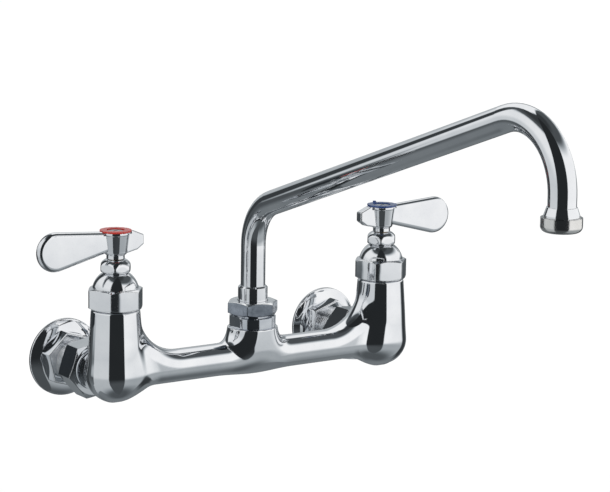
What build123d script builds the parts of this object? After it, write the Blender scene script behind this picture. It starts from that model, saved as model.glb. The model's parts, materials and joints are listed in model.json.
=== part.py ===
"""Wall faucet with two quarter-turn lever valves and a swivelling high spout.

Millimetres, +Z up, +X towards the cold valve, +Y into the wall.
The origin lies on the wall face, midway between the two inlet axes.
"""
from build123d import *
from math import hypot, radians, sqrt, tan
import os

os.makedirs("parts", exist_ok=True)

# ---------------------------------------------------------------- driving sizes
# Layout
VALVE_SPACING = 203.2       # between the two inlet axes
WALL_TO_VALVE = 68.0        # wall face to the valve axes
SPOUT_REACH = 304.8         # swivel axis to outlet axis

# Clearances
THREAD_GAP = 0.15           # radial, between threads drawn plain
RUNNING_GAP = 0.05          # radial, on turning and sliding fits
SIDE_GAP = 0.3              # between faces that move past each other
SEAT_GAP = 0.1              # radial, on pieces that only sit in their pockets

CUT_OVER = 1.0              # how far a cutter reaches past what it cuts

# Hexes
HEX_BEVEL = 1.3             # height turned off their corners
HEX_FACE = 0.97             # round end face, as a share of the flats' distance

# Cast body
BARREL_R = 18.1             # valve barrel at its widest
BARREL_TOP_R = 15.4         # valve barrel under the cap nut
BARREL_WIDE_Z = 4.0         # height of the widest ring
BARREL_SHOULDER_Z = 44.0    # top of the visible barrel
BARREL_FLOOR_Z = -13.9      # underside of the barrel
BARREL_FLAT_R = 3.1         # flat in the middle of its rounded underside
BARREL_EDGE_R = 1.2         # rounding of the barrel's shoulder
NECK_THREAD_R = 13.6        # male thread on top of the barrel
NECK_THREAD_LENGTH = 10.0
POCKET_R = 11.2             # bore that holds the cartridge
SEAT_Z = 20.0               # ledge that the cartridge seals on
CHAMBER_R = 8.0             # water chamber under the seat
CHAMBER_FLOOR_Z = -8.3
GALLERY_R = 13.0              # ring waterway round the cartridge's ports
GALLERY_Z = 25.0
GALLERY_HEIGHT = 10.0
BAR_R = 10.5                # crossbar
BAR_Z = 2.6                 # height of the crossbar's axis
BAR_BORE_R = 5.0            # waterway in the crossbar
BAR_FLARE_R = 30.0          # hollow curve from the crossbar up the barrels
BAR_FLARE_INSET = 4.5       # barrel axis to the end of that curve's centreline
RISER_R = 3.5               # waterway from the crossbar up to the pocket
RISER_FOOT = 30.0           # its foot, measured from the valve axis
RISER_HEAD_Z = 29.0         # its head, in the pocket's wall
CENTRE_HUB_R = 13.8         # boss under the spout
CENTRE_HUB_TOP_Z = 22.0
CENTRE_HUB_FLOOR_Z = -9.2
CENTRE_HUB_CORNER_R = 6.0
CENTRE_FLARE_R = 11.0       # hollow curve from the crossbar up the boss
CENTRE_FLARE_INSET = 3.0
CENTRE_WELL_R = 8.0           # waterway under the boss
CENTRE_WELL_SUMP = 0.8        # how far it reaches under the crossbar's bore
BARREL_BLEND_R = 3.0        # cast blend between crossbar and barrel
ARM_BLEND_R = 3.0           # between inlet arm and barrel
HUB_BLEND_R = 4.5           # between crossbar and boss

# Inlet arms, coupling nuts and flanged inlet fittings, along +Y
ARM_R = 13.6
ARM_LENGTH = 23.5           # valve axis to the arm's shoulder
ARM_EDGE_R = 1.0
SPIGOT_R = 11.0             # arm end that the coupling nut turns on
SPIGOT_LENGTH = 8.0
INLET_BORE_R = 7.5
NUT_AF = 34.0               # coupling nut across flats
NUT_GAP = 1.0               # arm's shoulder to the nut's front face
NUT_LENGTH = 16.5
NUT_LIP = 3.0
SNAP_RING_THICKNESS = 1.6
SNAP_RING_R = 12.6
SNAP_RING_GAP = 3.0
SNAP_GROOVE_DEPTH = 0.9
WASHER_THICKNESS = 2.0
INLET_THREAD_R = 13.2       # male thread of the flanged fitting
FITTING_BEVEL = 0.9
BOSS_AF = 33.0              # hex boss of the flanged fitting
BOSS_LENGTH = 9.3
FLANGE_R = 25.4
FLANGE_RIM = 1.5            # thickness at the rim
FLANGE_RISE = 4.5           # thickness at the hex boss
FLANGE_CROWN = 0.6            # how far its front bulges between boss and rim
FLANGE_EDGE_R = 0.5
FLANGE_DISH_DEPTH = 1.3     # ring-shaped recess in the back of the flange
FLANGE_DISH_FROM_R = 14.0
FLANGE_DISH_TO_R = 22.0
SOCKET_R = 10.4             # pipe thread in the back of the fitting
SOCKET_DEPTH = 15.0
HOT_NUT_TURN = 132.0        # where the hexes stopped when tightened, degrees
COLD_NUT_TURN = 105.0
HOT_BOSS_TURN = 162.5
COLD_BOSS_TURN = 135.7

# Cap nut over the cartridge
CAP_AF = 32.4
CAP_CROWN = 0.45            # how far its polished flats bulge
CAP_CORNER_R = 3.0          # rounding of its upright edges
CAP_DOME_R = 14.75
CAP_DOME_DROP = 2.9         # top of the hex to the dome's centre
CAP_BEVEL = 1.7
CAP_ROOF = 2.2              # wall of the dome
HOT_CAP_TURN = -8.2
COLD_CAP_TURN = -16.1

# Cartridge
CAGE_R = 11.0               # part that fits the barrel's pocket
CAGE_BORE_R = 9.8
COLLAR_THICKNESS = 3.2      # flange clamped on the barrel's rim
CARTRIDGE_NECK_R = 7.7
GLAND_THREAD_R = 7.0        # male thread for the packing nut
GLAND_BORE_R = 6.2          # packing chamber
GLAND_DEPTH = 5.0
PACKING_LENGTH = 3.6
PORT_WIDTH = 7.0            # side windows of the cage
PORT_HEIGHT = 7.0
ORING_WIRE_R = 0.8
SEAL_THICKNESS = 4.0
DISC_THICKNESS = 3.2
LAP_GAP = 0.02              # between the two lapped ceramic discs
PORT_FROM_R = 3.0           # quarter-circle openings in the discs
PORT_TO_R = 7.6
PORT_WEB = 1.2              # half the wall left between neighbouring quarters
KEY_WIDTH = 3.0             # lugs that stop the fixed disc from turning
STEM_R = 4.5
STEM_HEAD_R = 9.3           # drive flange over the moving disc
STEM_HEAD_THICKNESS = 3.0
DRIVE_WIDTH = 3.0           # tongue between the stem and the moving disc
DRIVE_DEPTH = 1.2
SQUARE_AF = 6.4             # square on top of the stem
PACKING_NUT_AF = 18.4
PACKING_NUT_R = 10.1          # turned over the corners of its hex
PACKING_NUT_CROWN_R = 4.0
PACKING_NUT_FOOT = 2.4      # bevel over the dome
PACKING_NUT_HEIGHT = 7.9
PACKING_NUT_LIP = 1.9
PACKING_NUT_LIFT = 0.6      # gap over the dome
HOT_PACKING_TURN = -3.4
COLD_PACKING_TURN = -8.1

# Lever handle
HANDLE_NECK_R = 5.7
HANDLE_NECK_HEIGHT = 2.1
HUB_BOTTOM_R = 7.4
HUB_TOP_R = 8.8
HUB_HEIGHT = 13.0
HUB_CORNER_R = 2.6
HUB_ROOF = 3.0              # over the end of the stem
LEVER_REACH = 54.8          # valve axis to the lever's tip
LEVER_TIP_R = 12.3
LEVER_TIP_DROP = 7.6        # top of the hub to the tip circle's centre
LEVER_ROOT_R = 5.4
LEVER_ROOT_DROP = 3.7
LEVER_THICKNESS = 6.0
LEVER_EDGE_R = 2.7
STUB_LENGTH = 18.8          # valve axis to the end of the short arm
STUB_CREST = 11.5           # valve axis to its highest corner
STUB_CREST_RISE = 1.9       # that corner over the top of the hub
STUB_TOP_DROP = 1.2         # end face under the top of the hub
STUB_END_HEIGHT = 6.0
STUB_FOOT = 14.3            # valve axis to its lower corner
STUB_FOOT_RISE = 2.6        # that corner over the bottom of the hub
STUB_HEEL_RISE = 1.0        # underside over the bottom of the hub
STUB_EDGE_R = 1.0
RING_SEAT_MARGIN = 0.4      # notch of the lever round the index ring
SCREW_HOLE_R = 2.1
SCREW_R = 1.9
SCREW_LENGTH = 11.0
SCREW_HEAD_R = 5.2
SCREW_HEAD_HEIGHT = 2.4
SCREW_SLOT_WIDTH = 1.1
SCREW_SLOT_DEPTH = 0.9
SCREW_TURN = 30.0
INDEX_R = 9.9
INDEX_BORE_R = 5.6
INDEX_THICKNESS = 2.0
INDEX_LOBES = 16
INDEX_LOBE_R = 0.8
INDEX_LOBE_DEPTH = 0.4
INDEX_TAB = 1.6             # width of the little tab on the cold ring
INDEX_TAB_HEIGHT = 1.0

# Spout
ADAPTER_R = 15.0            # round collar between the boss and the spout nut
ADAPTER_HEIGHT = 7.5
ADAPTER_AF = 27.0           # its two wrench flats
ADAPTER_EDGE = 0.6
ADAPTER_THREAD_R = 10.8     # into the boss
ADAPTER_THREAD_LENGTH = 13.0
SWIVEL_THREAD_R = 11.85     # carries the spout nut
SWIVEL_THREAD_LENGTH = 4.5
SPOUT_NUT_AF = 29.4
SPOUT_NUT_GAP = 1.0         # adapter to the nut
SPOUT_NUT_LIP = 2.6
SPOUT_NUT_TURN = -14.0
THRUST_THICKNESS = 1.0
FERRULE_FLANGE = 1.5
FERRULE_FLANGE_R = 11.3
FERRULE_SPIGOT_R = 8.4
FERRULE_SPIGOT_LENGTH = 21.0
FERRULE_BORE_R = 6.2
SLEEVE_R = 9.6              # visible sleeve round the foot of the tube
SLEEVE_HEIGHT = 12.4
SLEEVE_EDGE_R = 1.0
TUBE_SOCKET_DEPTH = 9.5
SPOUT_ORING_WIRE_R = 0.6
SPOUT_ORING_LEVELS = (5.0, 10.5)    # above the spigot's end
TUBE_R = 7.94
TUBE_WALL = 1.2
TUBE_CORNER_Z = 98.5        # where the riser and the slope would meet
TUBE_SLOPE = 19.0           # degrees
TUBE_FOOT_BEND_R = 32.0
TUBE_TOP_BEND_R = 38.0
TUBE_END_DROP = 63.5        # top corner to the tube's end

# Outlet
NOZZLE_TOP_RISE = 4.4       # cone above the nozzle's shoulder
NOZZLE_TOP_WALL = 0.4
NOZZLE_R = 9.9
NOZZLE_SHOULDER = 1.0
NOZZLE_THREAD_R = 9.8
NOZZLE_THREAD_LENGTH = 2.2
NOZZLE_GAP = 0.2            # shoulder to the aerator housing
NOZZLE_BORE_R = 6.9
HOUSING_R = 11.5
HOUSING_HEIGHT = 8.1
HOUSING_CORNER_R = 3.4
HOUSING_LIP = 2.3
HOUSING_MOUTH_R = 8.3
AERATOR_WASHER = 1.5
INSERT_SKIRT = 1.4          # how far the insert reaches into the mouth
INSERT_HOLE_R = 0.7
INSERT_RING_STEP = 2.6      # from the middle hole out to the next ring of holes
INSERT_RING_COUNT = 2

# ---------------------------------------------------------------- derived places
BULB_CORNER_R = BARREL_R - BARREL_FLAT_R
VALVE_Y = -WALL_TO_VALVE
VALVE_X = VALVE_SPACING / 2
RIM_Z = BARREL_SHOULDER_Z + NECK_THREAD_LENGTH
COLLAR_TOP_Z = RIM_Z + COLLAR_THICKNESS
CAP_HEX_TOP_Z = COLLAR_TOP_Z + SIDE_GAP
DOME_Z = CAP_HEX_TOP_Z - CAP_DOME_DROP
CAP_HOLE_R = CARTRIDGE_NECK_R + SEAT_GAP
CAP_TOP_Z = DOME_Z + sqrt(CAP_DOME_R**2 - CAP_HOLE_R**2)
PACKING_NUT_Z = CAP_TOP_Z + PACKING_NUT_LIFT
PACKING_NUT_TOP_Z = PACKING_NUT_Z + PACKING_NUT_HEIGHT
GLAND_TOP_Z = PACKING_NUT_TOP_Z - PACKING_NUT_LIP
HANDLE_Z = PACKING_NUT_TOP_Z + SIDE_GAP
HUB_Z = HANDLE_Z + HANDLE_NECK_HEIGHT
HUB_TOP_Z = HUB_Z + HUB_HEIGHT
STEM_TOP_Z = HUB_TOP_Z - HUB_ROOF
FIXED_DISC_Z = SEAT_Z + SEAL_THICKNESS
MOVING_DISC_Z = FIXED_DISC_Z + DISC_THICKNESS + LAP_GAP
STEM_HEAD_Z = MOVING_DISC_Z + DISC_THICKNESS
CAGE_ROOF_Z = STEM_HEAD_Z + STEM_HEAD_THICKNESS + RUNNING_GAP
DISC_R = CAGE_BORE_R - SEAT_GAP
PACKING_Z = GLAND_TOP_Z - GLAND_DEPTH
CARTRIDGE_ORING_Z = (GALLERY_Z + GALLERY_HEIGHT + RIM_Z) / 2

NUT_START = ARM_LENGTH + NUT_GAP
SPIGOT_END = ARM_LENGTH + SPIGOT_LENGTH
SNAP_START = NUT_START + NUT_LIP + SEAT_GAP
FITTING_START = SPIGOT_END + WASHER_THICKNESS
FLANGE_FACE = WALL_TO_VALVE - FLANGE_RISE
BOSS_START = FLANGE_FACE - BOSS_LENGTH

ADAPTER_END_Z = CENTRE_HUB_TOP_Z - ADAPTER_THREAD_LENGTH
ADAPTER_TOP_Z = CENTRE_HUB_TOP_Z + ADAPTER_HEIGHT
SWIVEL_RIM_Z = ADAPTER_TOP_Z + SWIVEL_THREAD_LENGTH
FERRULE_FLANGE_Z = SWIVEL_RIM_Z + THRUST_THICKNESS + RUNNING_GAP
SLEEVE_Z = FERRULE_FLANGE_Z + FERRULE_FLANGE
SPOUT_NUT_ROOF_Z = SLEEVE_Z + RUNNING_GAP
SPOUT_NUT_TOP_Z = SPOUT_NUT_ROOF_Z + SPOUT_NUT_LIP
SLEEVE_TOP_Z = SLEEVE_Z + SLEEVE_HEIGHT
TUBE_FOOT_Z = SLEEVE_TOP_Z - TUBE_SOCKET_DEPTH
SPIGOT_END_Z = FERRULE_FLANGE_Z - FERRULE_SPIGOT_LENGTH
TUBE_TOP_CORNER_Z = TUBE_CORNER_Z + SPOUT_REACH * tan(radians(TUBE_SLOPE))
TUBE_END_Z = TUBE_TOP_CORNER_Z - TUBE_END_DROP
NOZZLE_SHOULDER_Z = TUBE_END_Z - NOZZLE_SHOULDER
HOUSING_TOP_Z = NOZZLE_SHOULDER_Z - NOZZLE_GAP
NOZZLE_END_Z = HOUSING_TOP_Z - NOZZLE_THREAD_LENGTH
AERATOR_WASHER_Z = NOZZLE_END_Z - AERATOR_WASHER
OUTLET_Z = HOUSING_TOP_Z - HOUSING_HEIGHT
OUTLET_Y = VALVE_Y - SPOUT_REACH

# ---------------------------------------------------------------- shared shapes


def spun(*lines):
    """Solid of revolution about Z from lines and arcs drawn as (radius, height)."""
    edges = [edge for line in lines for edge in (Plane.XZ * line).edges()]
    return revolve(make_face(edges), Axis.Z)


def turned(*corners):
    """Solid of revolution about Z from the corners of its outline."""
    return spun(Polyline(*corners, close=True))


def disc(radius, low, high):
    """Cylinder about Z from height low to height high."""
    return Pos(0, 0, (low + high) / 2) * Cylinder(radius, high - low)


def ring(outer, inner, low, high):
    """Tube about Z."""
    return disc(outer, low, high) - disc(inner, low, high)


def crowned_hexagon(across_flats, crown, corner_r):
    """Hexagon whose sides bulge and whose corners are round."""
    sides = RegularPolygon(across_flats / 2 - crown, 6, major_radius=False).edges()
    outline = make_face([SagittaArc(side @ 0, side @ 1, -crown) for side in sides])
    return fillet(outline.vertices(), corner_r)


def hexagon(across_flats, low, high, turn, bevel_low=0.0, bevel_high=0.0, shape=None):
    """Hexagonal prism about Z whose corners are turned off at the ends."""
    shape = shape or RegularPolygon(across_flats / 2, 6, major_radius=False)
    prism = Pos(0, 0, low) * Rot(0, 0, turn) * extrude(shape, high - low)
    corner = across_flats / sqrt(3) + RUNNING_GAP
    face = HEX_FACE * across_flats / 2
    outline = [(0, low), (face if bevel_low else corner, low), (corner, low + bevel_low)]
    outline += [(corner, high - bevel_high), (face if bevel_high else corner, high), (0, high)]
    return prism & turned(*dict.fromkeys(outline))


def oring(outer, wire_r, height):
    """Rubber ring about Z that reaches out to the radius outer."""
    return Pos(0, 0, height) * Torus(outer - wire_r, wire_r)


def groove(outer, wire_r, height):
    """What is turned away for such a ring, from the radius outer inwards."""
    half = wire_r + SEAT_GAP
    return ring(outer + CUT_OVER, outer - 2 * wire_r - RUNNING_GAP, height - half, height + half)


def along_y(shape):
    """Turns a piece built about Z so that its +Z points to the wall."""
    return Rot(-90, 0, 0) * shape


# ---------------------------------------------------------------- cast body


def barrel():
    """Valve barrel: rounded underside, long taper, shoulder and threaded neck."""
    floor_r = BARREL_R - BULB_CORNER_R
    bulb = JernArc((floor_r, BARREL_FLOOR_Z), (1, 0), BULB_CORNER_R, 90)
    wall = Polyline(
        bulb @ 1,
        (BARREL_R, BARREL_WIDE_Z),
        (BARREL_TOP_R, BARREL_SHOULDER_Z - BARREL_EDGE_R),
        (BARREL_TOP_R - BARREL_EDGE_R, BARREL_SHOULDER_Z),
        (NECK_THREAD_R, BARREL_SHOULDER_Z),
        (NECK_THREAD_R, RIM_Z),
        (0, RIM_Z),
        (0, BARREL_FLOOR_Z),
        bulb @ 0,
    )
    return spun(bulb, wall)


def centre_hub():
    """Boss under the spout, rounded at its foot."""
    corner = CENTRE_HUB_CORNER_R
    foot = JernArc((CENTRE_HUB_R - corner, CENTRE_HUB_FLOOR_Z), (1, 0), corner, 90)
    rest = Polyline(
        foot @ 1,
        (CENTRE_HUB_R, CENTRE_HUB_TOP_Z),
        (0, CENTRE_HUB_TOP_Z),
        (0, CENTRE_HUB_FLOOR_Z),
        foot @ 0,
    )
    return spun(foot, rest)


def half_bar(start_x, upper):
    """Section of the crossbar's upper or lower half at the place start_x."""
    half = Pos(0, BAR_R if upper else -BAR_R) * Rectangle(3 * BAR_R, 2 * BAR_R)
    return Plane((start_x, 0, BAR_Z), x_dir=(0, 1, 0), z_dir=(1, 0, 0)) * (Circle(BAR_R) & half)


def climb(foot_x, head_x, inner_r):
    """Quarter bend of the crossbar's upper half, and the web that fills the corner under it."""
    centre_r = inner_r + BAR_R
    side = 1 if head_x > foot_x else -1
    arc = JernArc((foot_x, BAR_Z), (side, 0), centre_r, 90 * side)
    corner = Polyline(arc @ 1, (head_x, BAR_Z), arc @ 0)
    web = make_face([edge for line in (arc, corner) for edge in (Plane.XZ * line).edges()])
    return [sweep(half_bar(foot_x, upper=True), path=Plane.XZ * arc), extrude(web, BAR_R, both=True)]


def inlet_arm():
    """Arm that carries the water in from the wall, up to its shoulder."""
    edge = ARM_LENGTH - ARM_EDGE_R
    shoulder = (ARM_R - ARM_EDGE_R, ARM_LENGTH)
    return along_y(turned((0, 0), (ARM_R, 0), (ARM_R, edge), shoulder, (0, ARM_LENGTH)))


def spigot():
    """End of the arm with the groove of the snap ring."""
    high = SNAP_START + SNAP_RING_THICKNESS + SEAT_GAP
    cut = ring(SPIGOT_R + CUT_OVER, SPIGOT_R - SNAP_GROOVE_DEPTH, SNAP_START, high)
    return along_y(disc(SPIGOT_R, ARM_LENGTH - ARM_EDGE_R, SPIGOT_END) - cut)


def creases(body, test):
    """Edges whose every point passes the test, without seams and level rings."""
    found = []
    for edge in body.edges():
        points = [edge @ t for t in (0, 0.25, 0.5, 0.75, 1)]
        seam = max(abs(p.Y) for p in points) < RUNNING_GAP
        level = edge.bounding_box().size.Z < RUNNING_GAP
        if not seam and not level and all(test(p) for p in points):
            found.append(edge)
    return found


def meets_bar(p):
    """True on a barrel's surface where the crossbar runs into it."""
    from_axis = hypot(abs(p.X) - VALVE_X, p.Y)
    on_wall = BULB_CORNER_R - RUNNING_GAP < from_axis < BARREL_R + RUNNING_GAP
    inside = abs(p.X) < VALVE_X and abs(p.Y) < BAR_R + RUNNING_GAP
    return on_wall and inside and p.Z < BARREL_SHOULDER_Z - BARREL_EDGE_R - RUNNING_GAP


def meets_arm(p):
    """True on a barrel's surface where the inlet arm leaves it."""
    on_arm = abs(hypot(abs(p.X) - VALVE_X, p.Z) - ARM_R) < RUNNING_GAP
    return on_arm and p.Y > 0 and hypot(abs(p.X) - VALVE_X, p.Y) < BARREL_R + RUNNING_GAP


def meets_hub(p):
    """True on the boss's surface where the crossbar runs into it."""
    return hypot(p.X, p.Y) < CENTRE_HUB_R + RUNNING_GAP and p.Z < CENTRE_HUB_TOP_Z - RUNNING_GAP


def casting():
    """The body's outside: one solid with its creases rounded."""
    flare_end = VALVE_X - BAR_FLARE_INSET
    flare_foot = flare_end - BAR_FLARE_R - BAR_R
    centre_foot = CENTRE_FLARE_INSET + CENTRE_FLARE_R + BAR_R
    above_hub = Pos(0, 0, CENTRE_HUB_TOP_Z + VALVE_X / 2) * Box(VALVE_X, VALVE_X, VALVE_X)
    side = [extrude(half_bar(centre_foot, upper=True), flare_foot - centre_foot)]
    side += climb(flare_foot, flare_end, BAR_FLARE_R)
    side += [shape - above_hub for shape in climb(centre_foot, CENTRE_FLARE_INSET, CENTRE_FLARE_R)]
    side += [Pos(VALVE_X, 0, 0) * shape for shape in (barrel(), inlet_arm())]
    body = extrude(half_bar(-VALVE_X, upper=False), VALVE_SPACING) + centre_hub()
    for shape in side:
        body = body + shape + mirror(shape, Plane.YZ)
    body = body.solids()[0]
    for radius, test in ((ARM_BLEND_R, meets_arm), (BARREL_BLEND_R, meets_bar), (HUB_BLEND_R, meets_hub)):
        body = body.fillet(radius, creases(body, test))
    return body


def valve_passages():
    """Cartridge pocket, its ring waterway, the chamber below and the inlet bore."""
    return [
        disc(POCKET_R, SEAT_Z, RIM_Z),
        disc(GALLERY_R, GALLERY_Z, GALLERY_Z + GALLERY_HEIGHT),
        disc(CHAMBER_R, CHAMBER_FLOOR_Z, SEAT_Z),
        along_y(disc(INLET_BORE_R, 0, SPIGOT_END)),
    ]


def riser():
    """Slanting waterway from the crossbar's bore up to the ring waterway."""
    foot = Vector(VALVE_X - RISER_FOOT, 0, BAR_Z)
    head = Vector(VALVE_X - POCKET_R, 0, RISER_HEAD_Z)
    along = head - foot
    return Plane((foot + head) / 2, z_dir=along) * Cylinder(RISER_R, along.length)


def faucet_body():
    """One casting: two barrels, crossbar, centre boss and two inlet arms, all bored."""
    body = casting()
    for side in (1, -1):
        body += Pos(side * VALVE_X, 0, 0) * spigot()
    for shape in [Pos(VALVE_X, 0, 0) * cut for cut in valve_passages()] + [riser()]:
        body = body - shape - mirror(shape, Plane.YZ)
    bore_length = 2 * (VALVE_X - RISER_FOOT + RISER_R)
    body -= Pos(0, 0, BAR_Z) * Rot(0, 90, 0) * Cylinder(BAR_BORE_R, bore_length)
    well_floor = BAR_Z - BAR_BORE_R - CENTRE_WELL_SUMP
    body -= disc(CENTRE_WELL_R, well_floor, CENTRE_HUB_TOP_Z)
    body -= disc(ADAPTER_THREAD_R + THREAD_GAP, ADAPTER_END_Z - SIDE_GAP, CENTRE_HUB_TOP_Z)
    return body


# ---------------------------------------------------------------- cartridge


def cap_nut(turn):
    """Hex nut with a dome that clamps the cartridge's collar on the barrel's rim."""
    low = BARREL_SHOULDER_Z + SIDE_GAP
    dome = Pos(0, 0, DOME_Z) * Sphere(CAP_DOME_R)
    hollow = Pos(0, 0, DOME_Z) * Sphere(CAP_DOME_R - CAP_ROOF)
    outline = crowned_hexagon(CAP_AF, CAP_CROWN, CAP_CORNER_R)
    nut = hexagon(CAP_AF, low, CAP_HEX_TOP_Z, turn, CAP_BEVEL, CAP_BEVEL, outline)
    nut += dome & disc(CAP_DOME_R, COLLAR_TOP_Z, CAP_TOP_Z)
    nut -= disc(NECK_THREAD_R + THREAD_GAP, low, COLLAR_TOP_Z)
    nut -= hollow & disc(CAP_DOME_R, COLLAR_TOP_Z, CAP_TOP_Z)
    return nut - disc(CAP_HOLE_R, COLLAR_TOP_Z, CAP_TOP_Z)


def cartridge_body():
    """Brass cage, collar and gland in one piece, with two ports and two key slots."""
    low = SEAT_Z + SIDE_GAP
    stem_bore = STEM_R + RUNNING_GAP
    body = turned(
        (CAGE_BORE_R, low),
        (CAGE_R, low),
        (CAGE_R, RIM_Z),
        (NECK_THREAD_R, RIM_Z),
        (NECK_THREAD_R, COLLAR_TOP_Z),
        (CARTRIDGE_NECK_R, COLLAR_TOP_Z),
        (CARTRIDGE_NECK_R, PACKING_NUT_Z - SIDE_GAP),
        (GLAND_THREAD_R, PACKING_NUT_Z - SIDE_GAP),
        (GLAND_THREAD_R, GLAND_TOP_Z),
        (GLAND_BORE_R, GLAND_TOP_Z),
        (GLAND_BORE_R, PACKING_Z),
        (stem_bore, PACKING_Z),
        (stem_bore, CAGE_ROOF_Z),
        (CAGE_BORE_R, CAGE_ROOF_Z),
    )
    across = 2 * (CAGE_R + CUT_OVER)
    body -= groove(POCKET_R - RUNNING_GAP, ORING_WIRE_R, CARTRIDGE_ORING_Z)
    body -= Pos(0, 0, CAGE_ROOF_Z - PORT_HEIGHT / 2) * Box(across, PORT_WIDTH, PORT_HEIGHT)
    key_height = FIXED_DISC_Z + DISC_THICKNESS - low
    return body - Pos(0, 0, low + key_height / 2) * Box(KEY_WIDTH, across, key_height)


def quarters(turn, outer):
    """Two opposite quarter-circle openings with a wall of even width between them."""
    reach = 2 * outer
    shape = Sketch()
    for side in (1, -1):
        centre = side * (PORT_WEB + reach / 2)
        shape += Pos(centre, centre) * Rectangle(reach, reach)
    shape = shape & (Circle(outer) - Circle(PORT_FROM_R))
    return Rot(0, 0, turn) * extrude(shape, DISC_THICKNESS)


def fixed_disc():
    """Lower ceramic disc, held by two lugs in the cage."""
    body = Cylinder(DISC_R, DISC_THICKNESS)
    body += Box(KEY_WIDTH - 2 * SEAT_GAP, 2 * (CAGE_R - SEAT_GAP), DISC_THICKNESS)
    body = Pos(0, 0, DISC_THICKNESS / 2) * body - quarters(0, PORT_TO_R)
    return Pos(0, 0, FIXED_DISC_Z) * body


def moving_disc():
    """Upper ceramic disc: open quarters to the rim and a slot for the stem's tongue."""
    body = disc(DISC_R, 0, DISC_THICKNESS) - quarters(90, DISC_R + CUT_OVER)
    slot = Box(2 * (DISC_R + CUT_OVER), DRIVE_WIDTH + 2 * SEAT_GAP, DRIVE_DEPTH + SEAT_GAP)
    body -= Pos(0, 0, DISC_THICKNESS - (DRIVE_DEPTH + SEAT_GAP) / 2) * Rot(0, 0, 45) * slot
    return Pos(0, 0, MOVING_DISC_Z) * body


def seat_seal():
    """Rubber ring between the barrel's ledge and the fixed disc."""
    return ring(CAGE_BORE_R - SEAT_GAP, CHAMBER_R, SEAT_Z, FIXED_DISC_Z)


def cartridge_oring():
    return oring(POCKET_R - RUNNING_GAP, ORING_WIRE_R, CARTRIDGE_ORING_Z)


def stem():
    """Spindle: tongue, drive flange, round shank, square end and screw hole."""
    square = Pos(0, 0, (HANDLE_Z + STEM_TOP_Z) / 2) * Box(SQUARE_AF, SQUARE_AF, STEM_TOP_Z - HANDLE_Z)
    tongue = Pos(0, 0, STEM_HEAD_Z - DRIVE_DEPTH / 2) * Rot(0, 0, 45)
    tongue = tongue * Box(2 * STEM_HEAD_R, DRIVE_WIDTH, DRIVE_DEPTH) & disc(STEM_HEAD_R, 0, STEM_HEAD_Z)
    body = disc(STEM_HEAD_R, STEM_HEAD_Z, STEM_HEAD_Z + STEM_HEAD_THICKNESS)
    body += disc(STEM_R, STEM_HEAD_Z, HANDLE_Z)
    body = body + tongue + (square & disc(STEM_R, HANDLE_Z, STEM_TOP_Z))
    return body - disc(SCREW_R + THREAD_GAP, HUB_TOP_Z - SCREW_LENGTH - SIDE_GAP, STEM_TOP_Z)


def packing_ring():
    return ring(GLAND_BORE_R - RUNNING_GAP, STEM_R + RUNNING_GAP, PACKING_Z, PACKING_Z + PACKING_LENGTH)


def packing_nut(turn):
    """Small nut, turned so round that only lenses are left of its six flats."""
    crown = PACKING_NUT_TOP_Z - PACKING_NUT_CROWN_R
    arc = JernArc((PACKING_NUT_R, crown), (0, 1), PACKING_NUT_CROWN_R, 90)
    rest = Polyline(
        arc @ 1,
        (0, PACKING_NUT_TOP_Z),
        (0, PACKING_NUT_Z),
        (PACKING_NUT_R - PACKING_NUT_FOOT, PACKING_NUT_Z),
        (PACKING_NUT_R, PACKING_NUT_Z + PACKING_NUT_FOOT / 2),
        arc @ 0,
    )
    nut = spun(arc, rest) & hexagon(PACKING_NUT_AF, PACKING_NUT_Z, PACKING_NUT_TOP_Z, turn)
    nut -= disc(GLAND_THREAD_R + THREAD_GAP, PACKING_NUT_Z, GLAND_TOP_Z)
    nut += disc(GLAND_BORE_R - SEAT_GAP, PACKING_Z + PACKING_LENGTH, GLAND_TOP_Z)
    return nut - disc(STEM_R + RUNNING_GAP, PACKING_NUT_Z, PACKING_NUT_TOP_Z)


# ---------------------------------------------------------------- lever handle


def lever_hub():
    """Round hub that widens upwards, on a short neck."""
    low = HUB_BOTTOM_R - HUB_CORNER_R
    corner = JernArc((low, HUB_Z), (1, 0), HUB_CORNER_R, 90)
    rest = Polyline(
        corner @ 1,
        (HUB_TOP_R, HUB_TOP_Z),
        (0, HUB_TOP_Z),
        (0, HUB_Z),
        corner @ 0,
    )
    return spun(corner, rest) + disc(HANDLE_NECK_R, HANDLE_Z, HUB_Z + HUB_CORNER_R)


def lever_blade():
    """Long side of the lever: an upright paddle that grows towards its round tip."""
    root = Pos(0, HUB_TOP_Z - LEVER_ROOT_DROP) * Circle(LEVER_ROOT_R)
    tip = Pos(LEVER_REACH - LEVER_TIP_R, HUB_TOP_Z - LEVER_TIP_DROP) * Circle(LEVER_TIP_R)
    outline = make_hull((root + tip).edges())
    blade = extrude(Plane.XZ * outline, LEVER_THICKNESS / 2, both=True)
    rims = [edge for edge in blade.edges() if abs(abs(edge.center().Y) - LEVER_THICKNESS / 2) < RUNNING_GAP]
    return fillet(rims, LEVER_EDGE_R)


def lever_stub():
    """Short side of the lever, opposite the blade."""
    outline = Polyline(
        (0, HUB_TOP_Z + STUB_CREST_RISE),
        (-STUB_CREST, HUB_TOP_Z + STUB_CREST_RISE),
        (-STUB_LENGTH, HUB_TOP_Z - STUB_TOP_DROP),
        (-STUB_LENGTH, HUB_TOP_Z - STUB_TOP_DROP - STUB_END_HEIGHT),
        (-STUB_FOOT, HUB_Z + STUB_FOOT_RISE),
        (-HUB_BOTTOM_R, HUB_Z + STUB_HEEL_RISE),
        (0, HUB_Z + STUB_HEEL_RISE),
        close=True,
    )
    stub = extrude(Plane.XZ * make_face(outline), LEVER_THICKNESS / 2, both=True)
    return fillet([edge for edge in stub.edges() if (edge @ 0.5).X < -STUB_CREST / 2], STUB_EDGE_R)


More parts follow.
